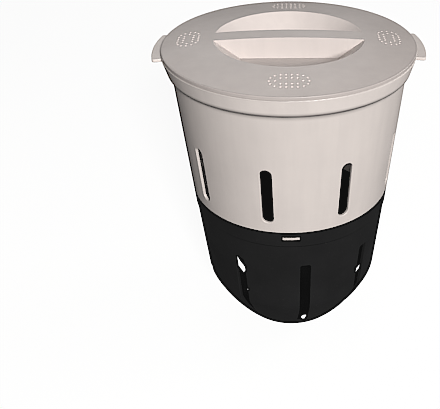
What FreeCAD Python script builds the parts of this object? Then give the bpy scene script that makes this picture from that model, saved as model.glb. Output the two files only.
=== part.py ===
import FreeCAD, Part
import os
import math
import Sketcher

V = FreeCAD.Vector

# ---------------------------------------------------------------------------
# In-ground compost bin: crowned lid with a sunk grip bar, tapered upper bin
# with a flared collar and two lifting ears, and a dark bowl-ended lower bin
# that clips under it.  Millimetres, +Z up, origin at the middle of the flat
# base, front of the object towards -Y, lifting ears on +X and -X.
# ---------------------------------------------------------------------------

doc = FreeCAD.newDocument("compost_bin")
sheet = doc.addObject("Spreadsheet::Sheet", "Dims")

SIZES = [
    # lid
    ("edge_height", 379.0),      # top of the lid's outer edge above the base
    ("crown_rise", 8.8),         # middle of the lid above its edge
    ("crown_flat", 7.0),         # radius of the level spot in the middle
    ("lid_radius", 140.0),
    ("edge_thick", 3.5),
    ("lid_plate", 3.0),
    ("skirt_top_radius", 135.8),
    ("skirt_low_radius", 133.3),
    ("skirt_wall", 2.5),
    ("skirt_depth", 14.0),
    ("pocket_radius", 83.0),
    ("pocket_depth", 14.6),      # floor of both pockets below the lid's edge
    ("pocket_floor_radius", 56.0),
    ("pocket_wall_rise", 20.3),  # rim of a pocket above its floor
    ("bar_half", 12.0),          # half the width of the grip bar
    ("cup_wall", 2.8),
    ("vent_ring", 110.8),        # distance of each vent field from the axis
    ("vent_hole", 1.3),          # radius of one vent hole
    ("vent_outer", 11.3),        # end radius of the outer row of holes
    ("vent_inner", 5.3),
    ("vent_flat", 8.2),          # half the straight part of both rows
    # upper bin
    ("seat_gap", 0.3),
    ("collar_top_radius", 140.9),
    ("collar_low_radius", 135.5),
    ("collar_height", 20.3),
    ("collar_low_round", 3.0),
    ("wall", 3.0),
    ("wall_top_radius", 131.5),
    ("seam_radius", 122.3),
    ("seam_height", 204.9),
    ("spigot_radius", 118.0),    # spigot at the seam and at its foot
    ("spigot_low_radius", 114.4),
    ("spigot_depth", 46.9),
    ("ear_radius", 150.3),
    ("ear_root", 137.2),
    ("ear_half_angle", 14.3),
    ("ear_thick", 3.4),
    ("ear_corner", 3.0),
    ("ear_drop", 1.5),           # ear's top below the collar's top
    ("slot_count", 9),
    ("slot_width", 12.6),
    ("slot_length", 70.5),
    ("slot_middle", 254.1),
    ("slot_phase", -11.8),       # first upper slot, turned from the front
    # lower bin
    ("lower_wall", 4.0),
    ("band_height", 20.9),
    ("band_low_radius", 121.0),
    ("lower_top_radius", 120.2),
    ("shoulder_radius", 112.88),  # where the wall turns into the bowl
    ("shoulder_height", 81.39),
    ("bowl_radius", 111.13),
    ("bowl_height", 73.68),
    ("dome_radius", 265.0),
    ("base_corner_radius", 66.7),
    ("base_round", 22.0),
    ("shoulder_round", 26.8),
    ("floor_thick", 4.0),
    ("inner_shoulder_radius", 108.6),
    ("inner_shoulder_height", 78.2),
    ("inner_floor_radius", 64.4),
    ("low_slot_width", 12.4),
    ("low_slot_top", 151.5),
    ("low_slot_end", 74.0),      # distance from the axis where the slot stops
    ("low_slot_corner", 3.0),
    ("low_slot_phase", 8.2),
    ("drain_count", 10),
    ("drain_ring", 59.0),
    ("drain_radius", 6.2),
    ("drain_phase", 18.0),
    # catches
    ("catch_count", 4),
    ("window_width", 20.6),
    ("window_height", 5.4),
    ("window_middle", 195.8),
    ("window_corner", 2.0),
    ("catch_width", 19.4),
    ("catch_low", 194.1),        # underside of the catch
    ("catch_root", 3.5),         # height of the catch at its root and face
    ("catch_tip", 2.9),
    ("catch_face", 121.5),       # outer face of the catch from the axis
    ("tongue_width", 23.0),
    ("tongue_thick", 2.6),
    ("tongue_low", 163.7),
    ("tongue_top", 200.3),
    ("tongue_gap", 0.7),
    ("edge_round", 0.8),
    ("lip_round", 1.0),
    ("fine_round", 0.5),
]

VAL = {}
for row, (name, value) in enumerate(SIZES, start=1):
    sheet.set("A%d" % row, name)
    sheet.set("B%d" % row, repr(value))
    sheet.setAlias("B%d" % row, name)
    VAL[name] = float(value)
doc.recompute()


class Dim:
    """A number from the sheet together with the expression that gives it."""

    def __init__(self, val, text):
        self.val = float(val)
        self.text = text

    @staticmethod
    def of(other):
        return other if isinstance(other, Dim) else Dim(other, "%.9g" % other)

    def __add__(self, other):
        o = Dim.of(other)
        return Dim(self.val + o.val, "(%s + %s)" % (self.text, o.text))

    def __radd__(self, other):
        return Dim.of(other).__add__(self)

    def __sub__(self, other):
        o = Dim.of(other)
        return Dim(self.val - o.val, "(%s - %s)" % (self.text, o.text))

    def __rsub__(self, other):
        return Dim.of(other).__sub__(self)

    def __mul__(self, other):
        o = Dim.of(other)
        return Dim(self.val * o.val, "(%s * %s)" % (self.text, o.text))

    def __rmul__(self, other):
        return Dim.of(other).__mul__(self)

    def __truediv__(self, other):
        o = Dim.of(other)
        return Dim(self.val / o.val, "(%s / %s)" % (self.text, o.text))

    def __neg__(self):
        return Dim(-self.val, "(0 - %s)" % self.text)


def d(name):
    return Dim(VAL[name], "Dims." + name)


# --- sketch helpers ---------------------------------------------------------

def plane_of(body, role):
    for f in body.Origin.OriginFeatures:
        if f.Role == role:
            return f
    raise ValueError(role)


def new_sketch(body, name, role, lift=None, turn=None):
    """A sketch on one of the body's own planes.  lift moves it along its
    normal and turn swings it about the vertical axis, in degrees."""
    sk = body.newObject("Sketcher::SketchObject", name)
    sk.AttachmentSupport = [(plane_of(body, role), "")]
    sk.MapMode = "FlatFace"
    rot = FreeCAD.Rotation()
    if turn is not None:
        axis = V(0, 1, 0) if role == "XZ_Plane" else V(0, 0, 1)
        rot = FreeCAD.Rotation(axis, turn.val)
        sk.AttachmentOffset = FreeCAD.Placement(V(0, 0, 0), rot)
        sk.setExpression("AttachmentOffset.Rotation.Angle", turn.text)
    if lift is not None:
        base = rot.multVec(V(0, 0, lift.val))
        sk.AttachmentOffset = FreeCAD.Placement(base, rot)
        if turn is None:
            sk.setExpression("AttachmentOffset.Base.z", lift.text)
    return sk


def pin_point(sk, geo, pos, x, y, tag):
    """Hold one point of a sketch at sheet-driven coordinates."""
    x, y = Dim.of(x), Dim.of(y)
    for kind, q, axis in (("DistanceX", x, -2), ("DistanceY", y, -1)):
        if abs(q.val) < 1e-9:
            sk.addConstraint(Sketcher.Constraint("PointOnObject", geo, pos, axis))
            continue
        if q.val > 0:
            i = sk.addConstraint(Sketcher.Constraint(kind, -1, 1, geo, pos, q.val))
            text = q.text
        else:
            i = sk.addConstraint(Sketcher.Constraint(kind, geo, pos, -1, 1, -q.val))
            text = "0 - " + q.text
        label = "%s_%s" % (tag, kind[-1].lower())
        sk.renameConstraint(i, label)
        sk.setExpression("Constraints." + label, text)


def arc_between(p, q, radius, bulge):
    """Arc from p to q (counter-clockwise or clockwise by bulge sign)."""
    mx, my = (p[0] + q[0]) / 2.0, (p[1] + q[1]) / 2.0
    dx, dy = q[0] - p[0], q[1] - p[1]
    c = math.hypot(dx, dy)
    hgt = math.sqrt(max(radius * radius - c * c / 4.0, 0.0))
    nx, ny = -dy / c, dx / c
    return (mx + nx * hgt * bulge, my + ny * hgt * bulge)


def outline(sk, points, arcs=None):
    """Closed outline through sheet-driven points.  arcs maps the index of a
    side to (radius, bulge): bulge +1 puts the centre left of the walk.  A
    radius of None puts the centre on the vertical axis instead."""
    arcs = arcs or {}
    n = len(points)
    xy = [(Dim.of(a).val, Dim.of(b).val) for a, b in points]
    ends = []
    for i in range(n):
        p, q = xy[i], xy[(i + 1) % n]
        if i in arcs:
            radius, bulge = arcs[i]
            if radius is None:
                zc = (q[0] ** 2 - p[0] ** 2 + q[1] ** 2 - p[1] ** 2) / (2.0 * (q[1] - p[1]))
                c = (0.0, zc)
                r = Dim.of(math.hypot(p[0], p[1] - zc))
            else:
                r = Dim.of(radius)
                c = arc_between(p, q, r.val, bulge)
            a0 = math.atan2(p[1] - c[1], p[0] - c[0])
            a1 = math.atan2(q[1] - c[1], q[0] - c[0])
            circle = Part.Circle(V(c[0], c[1], 0), V(0, 0, 1), r.val)
            if bulge > 0:
                g = sk.addGeometry(Part.ArcOfCircle(circle, a0, a1), False)
                ends.append((g, 1, 2))
            else:
                g = sk.addGeometry(Part.ArcOfCircle(circle, a1, a0), False)
                ends.append((g, 2, 1))
            if radius is None:
                sk.addConstraint(Sketcher.Constraint("PointOnObject", g, 3, -2))
                continue
            k = sk.addConstraint(Sketcher.Constraint("Radius", g, r.val))
            sk.renameConstraint(k, "r_%d" % i)
            sk.setExpression("Constraints.r_%d" % i, r.text)
        else:
            g = sk.addGeometry(Part.LineSegment(V(p[0], p[1], 0), V(q[0], q[1], 0)), False)
            ends.append((g, 1, 2))
    for i in range(n):
        g0, _, e0 = ends[i]
        g1, s1, _ = ends[(i + 1) % n]
        sk.addConstraint(Sketcher.Constraint("Coincident", g0, e0, g1, s1))
    for i in range(n):
        g, s, _ = ends[i]
        pin_point(sk, g, s, points[i][0], points[i][1], "p%d" % i)


def circles(sk, centres, radius):
    """Equal circles at sheet-driven centres."""
    first = None
    for k, (x, y) in enumerate(centres):
        x, y = Dim.of(x), Dim.of(y)
        g = sk.addGeometry(Part.Circle(V(x.val, y.val, 0), V(0, 0, 1), radius.val), False)
        if first is None:
            first = g
            i = sk.addConstraint(Sketcher.Constraint("Radius", g, radius.val))
            sk.renameConstraint(i, "hole_r")
            sk.setExpression("Constraints.hole_r", radius.text)
        else:
            sk.addConstraint(Sketcher.Constraint("Equal", first, g))
        pin_point(sk, g, 3, x, y, "c%d" % k)


def bind(obj, prop, dim):
    setattr(obj, prop, dim.val)
    obj.setExpression(prop, dim.text)


def revolve(body, sk, name, cut=False):
    f = body.newObject("PartDesign::Groove" if cut else "PartDesign::Revolution", name)
    f.Profile = sk
    f.ReferenceAxis = (sk, ["V_Axis"])
    f.Angle = 360.0
    doc.recompute()
    return f


def pad(body, sk, name, length, reverse=False):
    f = body.newObject("PartDesign::Pad", name)
    f.Profile = sk
    bind(f, "Length", length)
    f.Reversed = reverse
    doc.recompute()
    return f


def cut(body, sk, name, length, reverse=False):
    """Pocket, with the removed volume tested."""
    before = body.Shape.Volume
    f = body.newObject("PartDesign::Pocket", name)
    f.Profile = sk
    bind(f, "Length", length)
    f.Reversed = reverse
    doc.recompute()
    if not before - body.Shape.Volume > 1.0:
        raise RuntimeError("pocket %s removed nothing: %s %s" % (name, f.State, sk.State))
    return f


def ring_of(body, feature, name, count):
    before = body.Shape.Volume
    f = body.newObject("PartDesign::PolarPattern", name)
    f.Originals = [feature]
    axis = plane_of(body, "Z_Axis")
    f.Axis = (axis, [""])
    f.Angle = 360.0
    f.Occurrences = int(round(count.val))
    f.setExpression("Occurrences", count.text)
    body.Tip = f
    doc.recompute()
    if abs(before - body.Shape.Volume) < 1.0:
        raise RuntimeError("pattern %s changed nothing" % name)
    return f


def round_edges(body, base, name, radius, pick):
    """Fillet on the edges of base that pick() accepts."""
    names = []
    for i, e in enumerate(base.Shape.Edges, start=1):
        if not e.Degenerated and pick(e):
            names.append("Edge%d" % i)
    if not names:
        raise RuntimeError("no edge for %s" % name)
    f = body.newObject("PartDesign::Fillet", name)
    f.Base = (base, names)
    bind(f, "Radius", radius)
    body.Tip = f
    doc.recompute()
    if "Invalid" in f.State or f.Shape.isNull():
        raise RuntimeError("fillet %s failed on %d edges" % (name, len(names)))
    return f


def curve_kind(e):
    return "" if e.Degenerated else e.Curve.TypeId


def is_circle(e, radius, z, tol=0.05):
    if curve_kind(e) != "Part::GeomCircle":
        return False
    c = e.Curve
    return abs(c.Radius - radius) < tol and abs(c.Center.z - z) < tol and math.hypot(c.Center.x, c.Center.y) < tol


def middle(e):
    a, b = e.ParameterRange
    return e.valueAt((a + b) / 2.0)


def azimuth(p):
    """Angle about the vertical axis, 0 at the front, + towards +X."""
    return math.degrees(math.atan2(p.x, -p.y))


def new_body(label):
    b = doc.addObject("PartDesign::Body", label)
    b.Label = label
    return b


# --- lid --------------------------------------------------------------------
# Crowned disc with a plug skirt, two half-moon finger pockets either side of
# a hollow grip bar, and four fields of small vent holes.

lid = new_body("lid")
top = d("edge_height")
apex = top + d("crown_rise")
R = d("lid_radius")
under = top - d("edge_thick")
skirt_in_top = d("skirt_top_radius") - d("skirt_wall")
skirt_in_low = d("skirt_low_radius") - d("skirt_wall")
skirt_low = under - d("skirt_depth")


def crown_z(r):
    """Height of the lid's top at distance r from the axis."""
    a, b = VAL["crown_flat"], VAL["lid_radius"]
    low, high = top.val, apex.val
    zc = (b * b - a * a + low * low - high * high) / (2.0 * (low - high))
    return zc + math.sqrt(a * a + (high - zc) ** 2 - r * r)


sk = new_sketch(lid, "lid_profile", "XZ_Plane")
plate_edge = top - d("lid_plate") + 0.9
outline(sk, [
    (0, apex - d("lid_plate")),
    (d("crown_flat"), apex - d("lid_plate")),
    (skirt_in_top, plate_edge),
    (skirt_in_low, skirt_low),
    (d("skirt_low_radius"), skirt_low),
    (d("skirt_top_radius"), under),
    (R, under),
    (R, top),
    (d("crown_flat"), apex),
    (0, apex),
], arcs={1: (None, -1), 7: (None, 1)})
disc = revolve(lid, sk, "lid_disc")

# round dish under the plate, which the grip bar parts into two pockets
pocket_floor = top - d("pocket_depth")
dish_low = pocket_floor - d("cup_wall")
low_r, rim_r, rise = d("pocket_floor_radius"), d("pocket_radius"), d("pocket_wall_rise")
sk = new_sketch(lid, "dish_profile", "XZ_Plane")
outline(sk, [
    (0, dish_low),
    (low_r + 0.9, dish_low),
    (rim_r + 3.0, pocket_floor + rise - 1.3),
    (0, pocket_floor + rise - 1.3),
])
revolve(lid, sk, "dish")
sk = new_sketch(lid, "dish_hollow_profile", "XZ_Plane")
outline(sk, [
    (0, pocket_floor),
    (low_r, pocket_floor),
    (low_r + 1.2 * (rim_r - low_r), pocket_floor + 1.2 * rise),
    (0, pocket_floor + 1.2 * rise),
])
revolve(lid, sk, "dish_hollow", cut=True)

# grip bar across the dish
sk = new_sketch(lid, "bar_profile", "XZ_Plane", lift=d("bar_half"))
bar_low, bar_high = low_r - 0.4, rim_r + 7.0
bar_foot = pocket_floor - 0.5 * d("cup_wall")
outline(sk, [
    (-1.0 * bar_low, bar_foot),
    (bar_low, bar_foot),
    (bar_high, apex + 1.0),
    (-1.0 * bar_high, apex + 1.0),
])
pad(lid, sk, "bar", 2.0 * d("bar_half"), reverse=True)

# everything above the crown comes off again
sk = new_sketch(lid, "crown_trim", "XZ_Plane")
outline(sk, [
    (0, apex),
    (d("crown_flat"), apex),
    (R, top),
    (R, apex + 4.0),
    (0, apex + 4.0),
], arcs={1: (None, -1)})
revolve(lid, sk, "crown_cut", cut=True)

# the bar is hollow and open underneath
sk = new_sketch(lid, "bar_hollow_outline", "XY_Plane", lift=dish_low - 1.0)
hollow_x, hollow_y = low_r + 14.0, d("bar_half") - d("cup_wall")
outline(sk, [
    (-1.0 * hollow_x, -1.0 * hollow_y),
    (hollow_x, -1.0 * hollow_y),
    (hollow_x, hollow_y),
    (-1.0 * hollow_x, hollow_y),
])
cut(lid, sk, "bar_hollow", apex - dish_low - 4.3, reverse=True)

# rounded outer rim
round_edges(lid, lid.Tip, "rim_round", d("edge_round"),
            lambda e: is_circle(e, VAL["lid_radius"], VAL["edge_height"]))


# vent field: an outer and an inner row of holes, both rounded ovals
centres = []
ring_y = d("vent_ring")
for sx in (-1.0, 1.0):
    for sy in (-1.0, 1.0):
        for fx in (0.335, 1.0):
            for row in ("vent_outer", "vent_inner"):
                centres.append((sx * (fx * d("vent_flat")), -1.0 * (ring_y + sy * d(row))))
    for ang in (30, 60, 90, 120, 150):
        sn, cs = math.sin(math.radians(ang)), math.cos(math.radians(ang))
        centres.append((sx * (d("vent_flat") + sn * d("vent_outer")), -1.0 * (ring_y + cs * d("vent_outer"))))
    centres.append((sx * (d("vent_flat") + d("vent_inner")), -1.0 * ring_y))
sk = new_sketch(lid, "vent_holes", "XY_Plane", lift=under)
circles(sk, centres, d("vent_hole"))
vents = cut(lid, sk, "vents", d("crown_rise") + d("edge_thick") + 2.0, reverse=True)
ring_of(lid, vents, "vent_fields", Dim(4, "Dims.catch_count"))

# --- upper bin --------------------------------------------------------------
# Tapered sleeve with a flared collar on top, lifting ears, a ring of upright
# slots and a spigot that drops into the lower bin.

upper = new_body("upper_bin")
rim = under - d("seat_gap")
collar_low = rim - d("collar_height")
seam = d("seam_height")
spigot_low = seam - d("spigot_depth")
sk = new_sketch(upper, "upper_profile", "XZ_Plane")
outline(sk, [
    (d("collar_top_radius"), rim),
    (d("collar_top_radius") - d("wall"), rim),
    (d("collar_low_radius") - d("wall") + 0.55, collar_low + d("wall")),
    (d("wall_top_radius") - d("wall") + 0.18, collar_low + d("wall")),
    (d("seam_radius") - d("wall") + 0.3, seam + 6.0),
    (d("spigot_radius") - d("wall"), seam + 1.5),
    (d("spigot_low_radius") - d("wall"), spigot_low),
    (d("spigot_low_radius"), spigot_low),
    (d("spigot_radius"), seam),
    (d("seam_radius"), seam),
    (d("wall_top_radius"), collar_low),
    (d("collar_low_radius"), collar_low),
])
revolve(upper, sk, "upper_shell")
round_edges(upper, upper.Tip, "collar_round", d("lip_round"),
            lambda e: is_circle(e, VAL["collar_top_radius"], rim.val)
            or is_circle(e, VAL["seam_radius"], seam.val))
round_edges(upper, upper.Tip, "collar_low_round", d("collar_low_round"),
            lambda e: is_circle(e, VAL["collar_low_radius"], collar_low.val))
round_edges(upper, upper.Tip, "collar_inner_round", d("edge_round"),
            lambda e: is_circle(e, VAL["collar_top_radius"] - VAL["wall"], rim.val)
            or is_circle(e, VAL["wall_top_radius"], collar_low.val))

# lifting ears
ang = math.radians(VAL["ear_half_angle"])
ca = Dim(math.cos(ang), "cos(Dims.ear_half_angle * 1 deg)")
sa = Dim(math.sin(ang), "sin(Dims.ear_half_angle * 1 deg)")
ear_low = rim - d("ear_drop") - d("ear_thick")
sk = new_sketch(upper, "ear_outline", "XY_Plane", lift=ear_low)
outline(sk, [
    (d("ear_root") * ca, -(d("ear_root") * sa)),
    (d("ear_radius") * ca, -(d("ear_radius") * sa)),
    (d("ear_radius") * ca, d("ear_radius") * sa),
    (d("ear_root") * ca, d("ear_root") * sa),
], arcs={1: (d("ear_radius"), 1), 3: (d("ear_root"), -1)})
ear = pad(upper, sk, "ear", d("ear_thick"))
mir = upper.newObject("PartDesign::Mirrored", "ears")
mir.Originals = [ear]
mir.MirrorPlane = (plane_of(upper, "YZ_Plane"), [""])
upper.Tip = mir
doc.recompute()
round_edges(upper, upper.Tip, "ear_corners", d("ear_corner"),
            lambda e: curve_kind(e) == "Part::GeomLine" and abs(e.Length - VAL["ear_thick"]) < 0.05
            and abs(math.hypot(middle(e).x, middle(e).y) - VAL["ear_radius"]) < 0.1)


def ear_edge(e):
    p = middle(e)
    r = math.hypot(p.x, p.y)
    if r < VAL["collar_top_radius"] + 0.6 or abs(p.x) < 120:
        return False
    zs = [v.Point.z for v in e.Vertexes]
    return max(zs) - min(zs) < 0.01 and min(math.hypot(v.Point.x, v.Point.y) for v in e.Vertexes) > VAL["collar_top_radius"] + 1.0


round_edges(upper, upper.Tip, "ear_round", d("edge_round"), ear_edge)

# ring of upright slots
half_w = d("slot_width") / 2
half_s = d("slot_length") / 2 - half_w
sk = new_sketch(upper, "slot_outline", "XZ_Plane", turn=d("slot_phase"))
outline(sk, [
    (-half_w, d("slot_middle") - half_s),
    (half_w, d("slot_middle") - half_s),
    (half_w, d("slot_middle") + half_s),
    (-half_w, d("slot_middle") + half_s),
], arcs={0: (half_w * 1.0001, 1), 2: (half_w * 1.0001, 1)})
slot = cut(upper, sk, "slot", d("ear_radius"), reverse=True)
ring_of(upper, slot, "slots", d("slot_count"))


def slot_edge(e):
    p = middle(e)
    lo = VAL["slot_middle"] - VAL["slot_length"] / 2 - 0.5
    hi = VAL["slot_middle"] + VAL["slot_length"] / 2 + 0.5
    if not lo < p.z < hi:
        return False
    for v in e.Vertexes:
        if not lo < v.Point.z < hi:
            return False
    share = (p.z - VAL["seam_height"]) / (collar_low.val - VAL["seam_height"])
    outer = VAL["seam_radius"] + share * (VAL["wall_top_radius"] - VAL["seam_radius"])
    ends = [math.hypot(v.Point.x, v.Point.y) - (VAL["seam_radius"] + (v.Point.z - VAL["seam_height"])
            / (collar_low.val - VAL["seam_height"]) * (VAL["wall_top_radius"] - VAL["seam_radius"])) for v in e.Vertexes]
    return abs(math.hypot(p.x, p.y) - outer) < 0.15 and all(abs(q) < 0.15 for q in ends)


round_edges(upper, upper.Tip, "slot_round", d("lip_round"), slot_edge)

# openings in the spigot for the four spring tongues
sk = new_sketch(upper, "tongue_gap_outline", "XZ_Plane")
gap = d("tongue_gap")
outline(sk, [
    (-(d("tongue_width") / 2 + gap), d("tongue_low") - gap),
    (d("tongue_width") / 2 + gap, d("tongue_low") - gap),
    (d("tongue_width") / 2 + gap, d("tongue_top") + gap),
    (-(d("tongue_width") / 2 + gap), d("tongue_top") + gap),
])
notch = cut(upper, sk, "tongue_gap", d("ear_radius"), reverse=True)
ring_of(upper, notch, "tongue_gaps", d("catch_count"))

# --- lower bin --------------------------------------------------------------
# Dark bowl-ended basket: a plain band with four catch windows on top, then a
# tapered wall with slots that run down over the shoulder towards the base.

lower = new_body("lower_bin")
band_low = seam - d("band_height")
sk = new_sketch(lower, "lower_profile", "XZ_Plane")
outline(sk, [
    (0, 0),
    (d("base_corner_radius"), 0),
    (d("bowl_radius"), d("bowl_height")),
    (d("shoulder_radius"), d("shoulder_height")),
    (d("lower_top_radius"), band_low),
    (d("band_low_radius"), band_low + 0.6),
    (d("seam_radius"), seam),
    (d("seam_radius") - d("lower_wall"), seam),
    (d("inner_shoulder_radius"), d("inner_shoulder_height")),
    (d("inner_floor_radius"), d("floor_thick")),
    (0, d("floor_thick")),
], arcs={1: (d("dome_radius"), 1), 2: (d("shoulder_round"), 1), 8: (d("dome_radius") - d("lower_wall"), -1)})
revolve(lower, sk, "lower_shell")
round_edges(lower, lower.Tip, "base_round", d("base_round"),
            lambda e: is_circle(e, VAL["base_corner_radius"], 0.0))
round_edges(lower, lower.Tip, "band_round", d("fine_round"),
            lambda e: is_circle(e, VAL["seam_radius"], seam.val)
            or is_circle(e, VAL["band_low_radius"], band_low.val + 0.6))

# slots over the shoulder
hw = d("low_slot_width") / 2
co = d("low_slot_corner")
sk = new_sketch(lower, "low_slot_outline", "XZ_Plane", lift=d("low_slot_end"), turn=d("low_slot_phase"))
outline(sk, [
    (-hw, -5.0),
    (hw, -5.0),
    (hw, d("low_slot_top") - co),
    (hw - co, d("low_slot_top")),
    (co - hw, d("low_slot_top")),
    (-hw, d("low_slot_top") - co),
], arcs={2: (co * 1.0001, 1), 4: (co * 1.0001, 1)})
low_slot = cut(lower, sk, "low_slot", d("ear_radius") - d("low_slot_end"), reverse=True)
ring_of(lower, low_slot, "low_slots", d("slot_count"))



def low_slot_edge(e):
    """Outer edges of the slots, down the wall and over the shoulder."""
    p = middle(e)
    if not 8.0 < p.z < VAL["low_slot_top"] + 0.1:
        return False
    off = (azimuth(p) - VAL["low_slot_phase"] + 20.0) % 40.0 - 20.0
    side = math.hypot(p.x, p.y) * math.sin(math.radians(off))
    if abs(abs(side) - VAL["low_slot_width"] / 2) > 0.05 and p.z < VAL["low_slot_top"] - VAL["low_slot_corner"]:
        return False
    if abs(side) > VAL["low_slot_width"] / 2 + 0.05:
        return False
    return all(outside_gap(v.Point) < 0.05 for v in e.Vertexes) and outside_gap(p) < 0.05


def outside_gap(p):
    """Distance of a point from the outer skin of wall and bowl."""
    r = math.hypot(p.x, p.y)
    if p.z >= VAL["shoulder_height"]:
        share = (p.z - VAL["shoulder_height"]) / (band_low.val - VAL["shoulder_height"])
        return abs(r - (VAL["shoulder_radius"] + share * (VAL["lower_top_radius"] - VAL["shoulder_radius"])))
    a, b = (VAL["base_corner_radius"], 0.0), (VAL["bowl_radius"], VAL["bowl_height"])
    c = arc_between(a, b, VAL["dome_radius"], 1)
    if p.z >= VAL["bowl_height"]:
        e = (VAL["bowl_radius"], VAL["bowl_height"])
        g = (VAL["shoulder_radius"], VAL["shoulder_height"])
        c = arc_between(e, g, VAL["shoulder_round"], 1)
        return abs(math.hypot(r - c[0], p.z - c[1]) - VAL["shoulder_round"])
    return abs(math.hypot(r - c[0], p.z - c[1]) - VAL["dome_radius"])


round_edges(lower, lower.Tip, "low_slot_round", d("edge_round"), low_slot_edge)

# drain holes around the flat base
sk = new_sketch(lower, "drain_outline", "XY_Plane", lift=Dim(-2.0, "0 - 2"))
da = math.radians(VAL["drain_phase"])
circles(sk, [(d("drain_ring") * Dim(math.sin(da), "sin(Dims.drain_phase * 1 deg)"),
              -1.0 * (d("drain_ring") * Dim(math.cos(da), "cos(Dims.drain_phase * 1 deg)")))], d("drain_radius"))
drain = cut(lower, sk, "drain", d("floor_thick") + 14.0, reverse=True)
ring_of(lower, drain, "drains", d("drain_count"))

# catch windows in the band
ww = d("window_width") / 2
wh = d("window_height") / 2
wc = d("window_corner")
wm = d("window_middle")
sk = new_sketch(lower, "window_outline", "XZ_Plane")
outline(sk, [
    (wc - ww, wm - wh),
    (ww - wc, wm - wh),
    (ww, wm - wh + wc),
    (ww, wm + wh - wc),
    (ww - wc, wm + wh),
    (wc - ww, wm + wh),
    (-ww, wm + wh - wc),
    (-ww, wm - wh + wc),
], arcs={1: (wc * 1.0001, 1), 3: (wc * 1.0001, 1), 5: (wc * 1.0001, 1), 7: (wc * 1.0001, 1)})
window = cut(lower, sk, "window", d("ear_radius"), reverse=True)
ring_of(lower, window, "windows", d("catch_count"))

# --- catches ----------------------------------------------------------------
# Four spring tongues in the spigot, each with a catch that fills a window of
# the lower bin's band.  The right-hand one is drawn, the others are turned.

slope = (d("spigot_radius") - d("spigot_low_radius")) / d("spigot_depth")


def spigot_at(z):
    return d("spigot_radius") - slope * (seam - z)


def swept(body, sk, name):
    f = body.newObject("PartDesign::Revolution", name)
    f.Profile = sk
    f.ReferenceAxis = (sk, ["V_Axis"])
    f.Angle = 18.0
    f.Midplane = True
    doc.recompute()
    return f


def trim_sides(body, name, half):
    """Flat sides at +half and -half across the tongue."""
    for side, tag in ((1.0, "a"), (-1.0, "b")):
        sk = new_sketch(body, "%s_%s_outline" % (name, tag), "XY_Plane")
        outline(sk, [
            (90.0, side * half),
            (d("ear_radius"), side * half),
            (d("ear_radius"), side * (half + 30.0)),
            (90.0, side * (half + 30.0)),
        ])
        cut(body, sk, "%s_%s" % (name, tag), d("edge_height"), reverse=True)


catches = []
for label, turn in (("catch_right", 0.0), ("catch_back", 90.0), ("catch_left", 180.0), ("catch_front", 270.0)):
    body = new_body(label)
    sk = new_sketch(body, "catch_profile", "XZ_Plane")
    root = spigot_at(d("catch_low")) - 1.5
    outline(sk, [
        (root, d("catch_low")),
        (d("catch_face"), d("catch_low")),
        (d("catch_face"), d("catch_low") + d("catch_tip")),
        (root, d("catch_low") + d("catch_root")),
    ])
    swept(body, sk, "catch")
    trim_sides(body, "catch_side", d("catch_width") / 2)
    face = VAL["catch_face"]
    round_edges(body, body.Tip, "catch_round", d("fine_round"),
                lambda e: all(abs(math.hypot(v.Point.x, v.Point.y) - face) < 0.05 for v in e.Vertexes))
    sk = new_sketch(body, "tongue_profile", "XZ_Plane")
    low_r = spigot_at(d("tongue_low")) - 0.1
    top_r = spigot_at(d("tongue_top")) - 0.1
    outline(sk, [
        (low_r - d("tongue_thick"), d("tongue_low")),
        (low_r, d("tongue_low")),
        (top_r, d("tongue_top")),
        (top_r - d("tongue_thick"), d("tongue_top")),
    ])
    swept(body, sk, "tongue")
    trim_sides(body, "tongue_side", d("tongue_width") / 2)
    body.Placement = FreeCAD.Placement(V(0, 0, 0), FreeCAD.Rotation(V(0, 0, 1), turn))
    catches.append(body)

# --- checks and export ------------------------------------------------------
doc.recompute()
bad = [o.Name for o in doc.Objects if "Invalid" in o.State or "Error" in o.State]
if bad:
    raise RuntimeError("failed objects: " + ", ".join(bad))
subparts = [lid, upper, lower] + catches
for obj in subparts:
    shape = obj.Shape
    if shape.isNull() or not shape.isValid() or len(shape.Solids) != 1:
        raise RuntimeError("bad shape: %s" % obj.Label)
os.makedirs("parts", exist_ok=True)
for obj in subparts:
    obj.Shape.exportStep("parts/%s.step" % obj.Label)
    box = obj.Shape.BoundBox
    print("%-12s volume %9.1f  x %.2f..%.2f  y %.2f..%.2f  z %.2f..%.2f" % (
        obj.Label, obj.Shape.Volume, box.XMin, box.XMax, box.YMin, box.YMax, box.ZMin, box.ZMax))
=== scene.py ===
import math

import bpy
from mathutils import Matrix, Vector

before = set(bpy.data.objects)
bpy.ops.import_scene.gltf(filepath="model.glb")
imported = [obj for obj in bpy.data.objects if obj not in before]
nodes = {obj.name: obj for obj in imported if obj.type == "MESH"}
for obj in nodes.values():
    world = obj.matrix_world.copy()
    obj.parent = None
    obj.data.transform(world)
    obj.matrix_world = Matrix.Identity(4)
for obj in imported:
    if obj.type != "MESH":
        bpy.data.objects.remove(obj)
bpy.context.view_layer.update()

scene = bpy.context.scene

# Image size that the camera is worked out for.
WIDTH, HEIGHT = 440, 409


# ---------------------------------------------------------------- materials

def new_material(name):
    mat = bpy.data.materials.new(name)
    mat.use_nodes = True
    tree = mat.node_tree
    tree.nodes.clear()
    out = tree.nodes.new("ShaderNodeOutputMaterial")
    bsdf = tree.nodes.new("ShaderNodeBsdfPrincipled")
    tree.links.new(bsdf.outputs["BSDF"], out.inputs["Surface"])
    return mat, tree, bsdf


def object_coords(tree):
    return tree.nodes.new("ShaderNodeTexCoord").outputs["Object"]


def noise(tree, vec, scale, detail=4.0, rough=0.55):
    n = tree.nodes.new("ShaderNodeTexNoise")
    n.inputs["Scale"].default_value = scale
    n.inputs["Detail"].default_value = detail
    n.inputs["Roughness"].default_value = rough
    tree.links.new(vec, n.inputs["Vector"])
    return n.outputs["Fac"]


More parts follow.
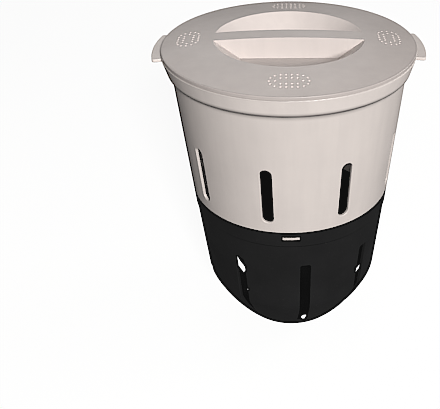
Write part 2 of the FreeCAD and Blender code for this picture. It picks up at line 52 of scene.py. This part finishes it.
def ramp(tree, fac, stops):
    r = tree.nodes.new("ShaderNodeValToRGB")
    el = r.color_ramp.elements
    while len(el) < len(stops):
        el.new(0.5)
    for e, (pos, col) in zip(el, stops):
        e.position = pos
        e.color = (*col, 1.0)
    tree.links.new(fac, r.inputs["Fac"])
    return r.outputs["Color"]


def remap(tree, fac, lo, hi):
    m = tree.nodes.new("ShaderNodeMapRange")
    m.inputs["From Min"].default_value = 0.3
    m.inputs["From Max"].default_value = 0.7
    m.inputs["To Min"].default_value = lo
    m.inputs["To Max"].default_value = hi
    tree.links.new(fac, m.inputs["Value"])
    return m.outputs["Result"]


def mix_colour(tree, fac, a, b, mode="MIX"):
    m = tree.nodes.new("ShaderNodeMix")
    m.data_type = "RGBA"
    m.blend_type = mode
    ins = [s for s in m.inputs if s.enabled]
    f, ca, cb = ins[0], ins[1], ins[2]
    if isinstance(fac, (int, float)):
        f.default_value = fac
    else:
        tree.links.new(fac, f)
    for s, v in ((ca, a), (cb, b)):
        if isinstance(v, tuple):
            s.default_value = (*v, 1.0)
        else:
            tree.links.new(v, s)
    return [o for o in m.outputs if o.enabled][0]


def shade(col, k):
    return tuple(min(1.0, c * k) for c in col)


def span(tree, value, low, high):
    """0 at low, 1 at high, straight in between."""
    m = tree.nodes.new("ShaderNodeMapRange")
    m.inputs["From Min"].default_value = low
    m.inputs["From Max"].default_value = high
    tree.links.new(value, m.inputs["Value"])
    return m.outputs["Result"]


def product(tree, a, b):
    m = tree.nodes.new("ShaderNodeMath")
    m.operation = "MULTIPLY"
    tree.links.new(a, m.inputs[0])
    tree.links.new(b, m.inputs[1])
    return m.outputs["Value"]


def height_and_reach(tree, vec):
    """Height and distance from the upright axis."""
    split = tree.nodes.new("ShaderNodeSeparateXYZ")
    tree.links.new(vec, split.inputs["Vector"])
    flat = tree.nodes.new("ShaderNodeVectorMath")
    flat.operation = "MULTIPLY"
    flat.inputs[1].default_value = (1.0, 1.0, 0.0)
    tree.links.new(vec, flat.inputs[0])
    length = tree.nodes.new("ShaderNodeVectorMath")
    length.operation = "LENGTH"
    tree.links.new(flat.outputs["Vector"], length.inputs[0])
    return split.outputs["Z"], length.outputs["Value"]


def grey(k):
    return (k, k, k)


def shell_painted_shading(tree, vec, base):
    """Collar painted a shade paler than the wall (painted light), a dark band painted on its lower lip with a painted
    shadow that thins out down the wall below it, broken up by noise, and the top lip painted darker (painted shade that
    dims its highlight)."""
    foot, top = 0.3549, 0.3752
    z, reach = height_and_reach(tree, vec)
    # Painted shade and light around the collar: a shadow painted on the wall under the collar's lower edge, a dark
    # crease painted on its lower lip, and the collar above painted up to 18 percent paler.
    steps = [(-6.0, 1.0), (-4.6, 0.93), (-3.2, 0.76), (-2.2, 0.62), (-0.4, 0.46), (0.0, 0.26),
             (2.3, 0.26), (3.1, 0.53), (3.8, 0.84), (5.0, 1.04), (6.0, 1.18)]
    band = ramp(tree, span(tree, z, foot - 0.006, foot + 0.006), [((h + 6.0) / 12.0, grey(k)) for h, k in steps])
    outside = span(tree, reach, 0.1296, 0.1299)
    patchy = remap(tree, noise(tree, vec, 45.0, 3.0, 0.55), 0.85, 1.0)
    base = mix_colour(tree, product(tree, outside, patchy), base, mix_colour(tree, 1.0, base, band, "MULTIPLY"))
    # Painted shade: the top lip of the collar is painted 24 percent darker to dim its highlight.
    lip = product(tree, span(tree, z, top - 0.0018, top - 0.0006), span(tree, reach, 0.1425, 0.1415))
    return mix_colour(tree, 1.0, base, ramp(tree, lip, [(0.0, grey(1.0)), (1.0, grey(0.76))]), "MULTIPLY")


def lid_painted_shading(tree, vec, base):
    """Steep faces in the pockets are painted paler than the top, and the walls of the vent holes paler still: painted
    light where these faces catch more light. The outer edge is painted darker: painted shade that dims its highlight."""
    z, reach = height_and_reach(tree, vec)
    facing = tree.nodes.new("ShaderNodeSeparateXYZ")
    tree.links.new(tree.nodes.new("ShaderNodeTexCoord").outputs["Normal"], facing.inputs["Vector"])
    # Painted light: steep and sloped faces inside the lid are painted 20 to 36 percent paler than its top.
    steep_painted_light = ramp(tree, facing.outputs["Z"], [(0.0, grey(1.20)), (0.50, grey(1.20)), (0.72, grey(1.36)),
                                             (0.84, grey(1.36)), (0.93, grey(1.0)), (1.0, grey(1.0))])
    base = mix_colour(tree, span(tree, reach, 0.1340, 0.1330), base, mix_colour(tree, 1.0, base, steep_painted_light, "MULTIPLY"))
    # Painted light: the walls of the vent holes are painted a further 20 percent paler.
    bore_painted_light = product(tree, span(tree, facing.outputs["Z"], 0.70, 0.40), product(tree, span(tree, reach, 0.088, 0.090), span(tree, reach, 0.1330, 0.1320)))
    base = mix_colour(tree, 1.0, base, ramp(tree, bore_painted_light, [(0.0, grey(1.0)), (1.0, grey(1.20))]), "MULTIPLY")
    # Painted shade: the outer edge of the lid is painted 14 percent darker to dim its highlight.
    rim_painted_shade = span(tree, reach, 0.1376, 0.1388)
    return mix_colour(tree, 1.0, base, ramp(tree, rim_painted_shade, [(0.0, grey(1.0)), (1.0, grey(0.86))]), "MULTIPLY")


def black_painted_shading(tree, vec, base):
    """Painted shade: a dark stripe painted in the step under the band, where shade falls."""
    z, reach = height_and_reach(tree, vec)
    # Painted shade in the step under the band: 42 percent of the base colour.
    line = ramp(tree, span(tree, z, 0.1815, 0.1865), [(0.0, grey(1.0)), (0.30, grey(1.0)), (0.42, grey(0.42)),
                                                      (0.60, grey(0.42)), (0.70, grey(1.0)), (1.0, grey(1.0))])
    return mix_colour(tree, span(tree, reach, 0.1182, 0.1186), base, mix_colour(tree, 1.0, base, line, "MULTIPLY"))


def moulded_plastic(name, colour, rough, grain=0.05, spread=0.035, dust=None, gloss=0.4, shading_paint=None):
    """Injection-moulded plastic: cloudy colour, faint flow streaks down the
    wall, fine spark texture and a gloss that is not quite even."""
    mat, tree, bsdf = new_material(name)
    vec = object_coords(tree)
    cloud = noise(tree, vec, 16.0, 5.0, 0.6)
    base = ramp(tree, cloud, [(0.30, shade(colour, 1.0 - spread)), (0.52, colour), (0.75, shade(colour, 1.0 + spread))])
    stretch = tree.nodes.new("ShaderNodeMapping")
    stretch.inputs["Scale"].default_value = (90.0, 90.0, 7.0)
    tree.links.new(vec, stretch.inputs["Vector"])
    streak = noise(tree, stretch.outputs["Vector"], 1.0, 3.0, 0.5)
    streak_col = ramp(tree, streak, [(0.35, (0.965, 0.965, 0.968)), (0.65, (1.0, 1.0, 1.0))])
    base = mix_colour(tree, 1.0, base, streak_col, "MULTIPLY")
    # Light and shade painted into the base colour by the function given here.
    if shading_paint is not None:
        base = shading_paint(tree, vec, base)
    if dust is not None:
        speck = noise(tree, vec, 420.0, 2.0, 0.5)
        mask = tree.nodes.new("ShaderNodeMapRange")
        mask.inputs["From Min"].default_value = 0.66
        mask.inputs["From Max"].default_value = 0.78
        mask.inputs["To Min"].default_value = 0.0
        mask.inputs["To Max"].default_value = 0.35
        tree.links.new(speck, mask.inputs["Value"])
        base = mix_colour(tree, mask.outputs["Result"], base, dust)
    tree.links.new(base, bsdf.inputs["Base Color"])
    uneven = noise(tree, vec, 38.0, 4.0, 0.6)
    tree.links.new(remap(tree, uneven, rough - 0.05, rough + 0.06), bsdf.inputs["Roughness"])
    fine = noise(tree, vec, 1500.0, 3.0, 0.6)
    bump = tree.nodes.new("ShaderNodeBump")
    bump.inputs["Strength"].default_value = grain
    bump.inputs["Distance"].default_value = 0.0004
    tree.links.new(fine, bump.inputs["Height"])
    wavy = noise(tree, vec, 9.0, 2.0, 0.4)
    sink = tree.nodes.new("ShaderNodeBump")
    sink.inputs["Strength"].default_value = 0.06
    sink.inputs["Distance"].default_value = 0.004
    tree.links.new(wavy, sink.inputs["Height"])
    tree.links.new(bump.outputs["Normal"], sink.inputs["Normal"])
    tree.links.new(sink.outputs["Normal"], bsdf.inputs["Normal"])
    bsdf.inputs["IOR"].default_value = 1.49
    bsdf.inputs["Specular IOR Level"].default_value = gloss
    return mat


GREIGE = (0.422, 0.384, 0.363)
GREIGE_LID = (0.377, 0.338, 0.320)
BLACK = (0.0082, 0.0082, 0.0084)
# The functions passed in below paint light and shade into these colours.
shell_mat = moulded_plastic("greige_shell_plastic", GREIGE, 0.36, grain=0.03, gloss=0.30, shading_paint=shell_painted_shading)
lid_mat = moulded_plastic("greige_lid_plastic", GREIGE_LID, 0.36, grain=0.03, gloss=0.32, shading_paint=lid_painted_shading)
black_mat = moulded_plastic("black_shell_plastic", BLACK, 0.48, grain=0.10, spread=0.18, dust=(0.022, 0.021, 0.020), gloss=0.02, shading_paint=black_painted_shading)

for name, mat, slot in (
    ("lid", lid_mat, "greige_lid"),
    ("upper_bin", shell_mat, "greige_shell"),
    ("lower_bin", black_mat, "black_shell"),
    ("catch_front", shell_mat, "greige_shell"),
    ("catch_right", shell_mat, "greige_shell"),
    ("catch_back", shell_mat, "greige_shell"),
    ("catch_left", shell_mat, "greige_shell"),
):
    obj = nodes[name]
    obj.data.materials.clear()
    obj.data.materials.append(mat)


# ---------------------------------------------------------------- floor

def plain_plane(name, size, z):
    mesh = bpy.data.meshes.new(name)
    s = size / 2.0
    mesh.from_pydata([(-s, -s, z), (s, -s, z), (s, s, z), (-s, s, z)], [], [(0, 1, 2, 3)])
    mesh.update()
    obj = bpy.data.objects.new(name, mesh)
    scene.collection.objects.link(obj)
    return obj


floor = plain_plane("floor", 12.0, 0.0)
floor_mat, tree, bsdf = new_material("pale_floor")
col = ramp(tree, noise(tree, object_coords(tree), 1.5, 2.0), [(0.3, (0.085, 0.085, 0.084)), (0.7, (0.089, 0.089, 0.088))])
tree.links.new(col, bsdf.inputs["Base Color"])
bsdf.inputs["Roughness"].default_value = 0.9
bsdf.inputs["Specular IOR Level"].default_value = 0.1
bsdf.inputs["Emission Color"].default_value = (1.0, 1.0, 1.0, 1.0)
bsdf.inputs["Emission Strength"].default_value = 0.90
floor.data.materials.append(floor_mat)
# The bright floor gives no light of its own back to the walls, which stay as
# dark on their far sides as they are in the photograph.
floor.visible_diffuse = False
floor.visible_glossy = False


# ---------------------------------------------------------------- light

scene.view_settings.view_transform = "Standard"
scene.view_settings.look = "None"

world = bpy.data.worlds.new("studio")
world.use_nodes = True
scene.world = world
bg = world.node_tree.nodes["Background"]
bg.inputs["Color"].default_value = (1.0, 1.0, 1.0, 1.0)
bg.inputs["Strength"].default_value = 0.14


def softbox(name, azimuth, elevation, reach, size, power, colour=(1.0, 1.0, 1.0), target=(0.0, 0.0, 0.22)):
    """Square lamp seen from the object at that azimuth (0 in front, + to the
    right) and elevation, turned towards it."""
    data = bpy.data.lights.new(name, "AREA")
    data.shape = "SQUARE"
    data.size = size
    data.energy = power
    data.color = colour
    obj = bpy.data.objects.new(name, data)
    scene.collection.objects.link(obj)
    az, el = math.radians(azimuth), math.radians(elevation)
    way = Vector((math.sin(az) * math.cos(el), -math.cos(az) * math.cos(el), math.sin(el)))
    obj.location = Vector(target) + way * reach
    obj.rotation_euler = (-way).to_track_quat("-Z", "Y").to_euler()
    return obj


softbox("key", 14.0, 26.5, 4.0, 0.80, 274.0, (1.0, 0.99, 0.98))
softbox("side_fill", 108.0, 18.0, 2.4, 0.9, 17.0)
softbox("back_fill", -174.0, 38.0, 2.2, 1.4, 8.5)


# ---------------------------------------------------------------- camera

def set_camera():
    data = bpy.data.cameras.new("camera")
    data.sensor_fit = "HORIZONTAL"
    data.sensor_width = 36.0
    data.lens = 604.04 / WIDTH * 36.0
    data.shift_x = 0.5 - 300.0 / WIDTH
    data.shift_y = 0.0
    data.clip_start = 0.05
    cam = bpy.data.objects.new("camera", data)
    scene.collection.objects.link(cam)
    yaw, pitch = math.radians(1.015), math.radians(36.02)
    cam.location = (0.00063, -0.64664, 0.6258)
    look = Vector((math.sin(yaw) * math.cos(pitch), math.cos(yaw) * math.cos(pitch), -math.sin(pitch)))
    cam.rotation_euler = look.to_track_quat("-Z", "Y").to_euler()
    scene.camera = cam


set_camera()


# ---------------------------------------------------------------- finish of the picture

def crisp_picture(amount, black):
    """The photograph is sharpened, with pale lines beside its dark edges, and
    its black is not quite black."""
    scene.use_nodes = True
    tree = scene.node_tree
    tree.nodes.clear()
    layers = tree.nodes.new("CompositorNodeRLayers")
    sharp = tree.nodes.new("CompositorNodeFilter")
    sharp.filter_type = "SHARPEN"
    sharp.inputs["Fac"].default_value = amount
    out = tree.nodes.new("CompositorNodeComposite")
    tree.links.new(layers.outputs["Image"], sharp.inputs["Image"])
    lift = tree.nodes.new("CompositorNodeCurveRGB")
    lift.mapping.extend = "HORIZONTAL"
    lift.mapping.curves[3].points[0].location = (0.0, black)
    lift.mapping.update()
    tree.links.new(sharp.outputs["Image"], lift.inputs["Image"])
    tree.links.new(lift.outputs["Image"], out.inputs["Image"])


crisp_picture(0.11, 0.0048)
